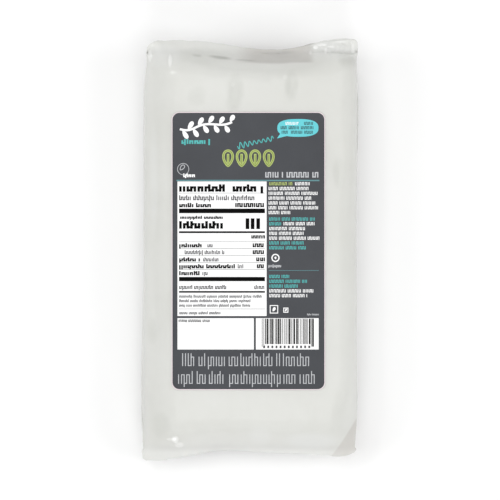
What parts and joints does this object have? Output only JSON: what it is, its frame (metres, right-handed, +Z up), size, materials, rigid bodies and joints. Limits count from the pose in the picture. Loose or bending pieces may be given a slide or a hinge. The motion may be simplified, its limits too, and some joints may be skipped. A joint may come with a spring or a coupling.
{
  "type": "vacuum packed white cheese block",
  "caption": "Long block of white brined-style cheese sealed in a milky film pouch with wavy end seals and a dark printed label on its face, lying on its back.",
  "frame": {"origin": "on the surface the pack rests on, under the middle of its bounding box", "axes": "+X across the pack, to the label's right as it is read; +Y along the pack, to the label's upper edge; +Z up, out of the labelled face"},
  "size_m": [0.1311, 0.255, 0.0459],
  "materials": {
    "film": "translucent milky film tight over a white block, soft gloss",
    "cheese": "moist white cheese, fine pits, seen through the film",
    "label": "charcoal satin label stock with a pale cut edge",
    "print": "flat printed fields in white, black, grey, teal and lime"
  },
  "bodies": {
    "root": {"film_pack": "film", "label": "label"}
  },
  "joints": []
}
